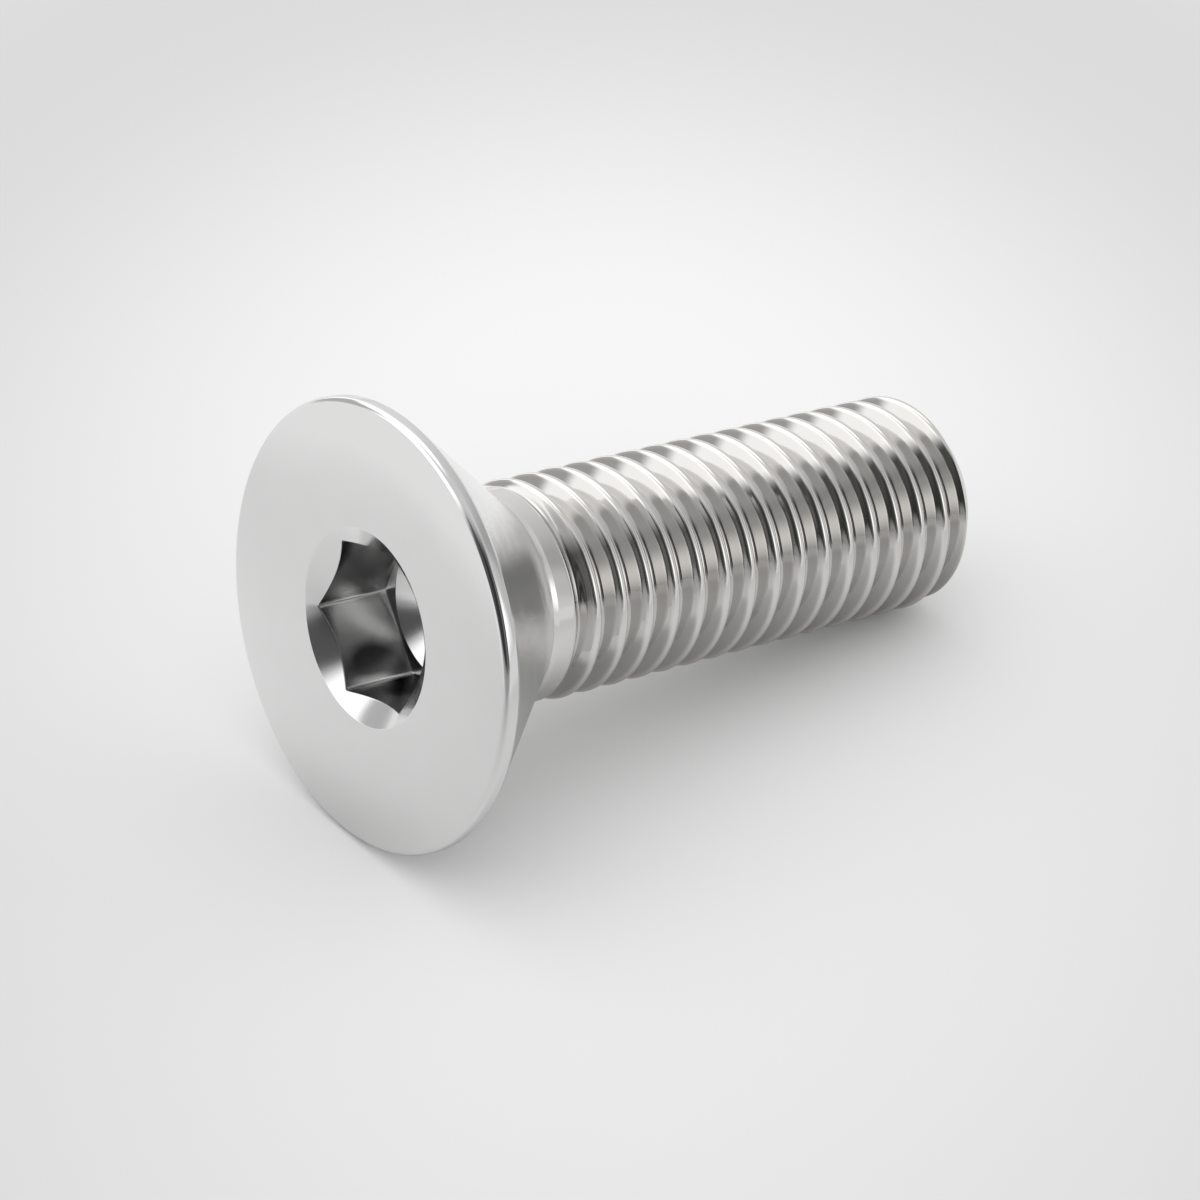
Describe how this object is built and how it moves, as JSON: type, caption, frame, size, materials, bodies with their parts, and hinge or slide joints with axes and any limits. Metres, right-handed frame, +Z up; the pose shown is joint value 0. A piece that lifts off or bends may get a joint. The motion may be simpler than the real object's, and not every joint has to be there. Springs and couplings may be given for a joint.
{
  "type": "countersunk socket screw",
  "caption": "Countersunk socket screw with a flat conical head, a hexagon socket and a right-hand metric thread, for fastening flush with a surface.",
  "frame": {"origin": "middle of the screw's footprint, on the plane that it lies on", "axes": "+X from the head towards the tip, along the plane; +Z up; the screw's own axis lies in the XZ plane and dips 9.74 degrees towards the tip"},
  "size_m": [0.0402, 0.024, 0.0237],
  "materials": {
    "steel": "polished bright steel"
  },
  "bodies": {
    "root": {"screw": "steel"}
  },
  "joints": []
}
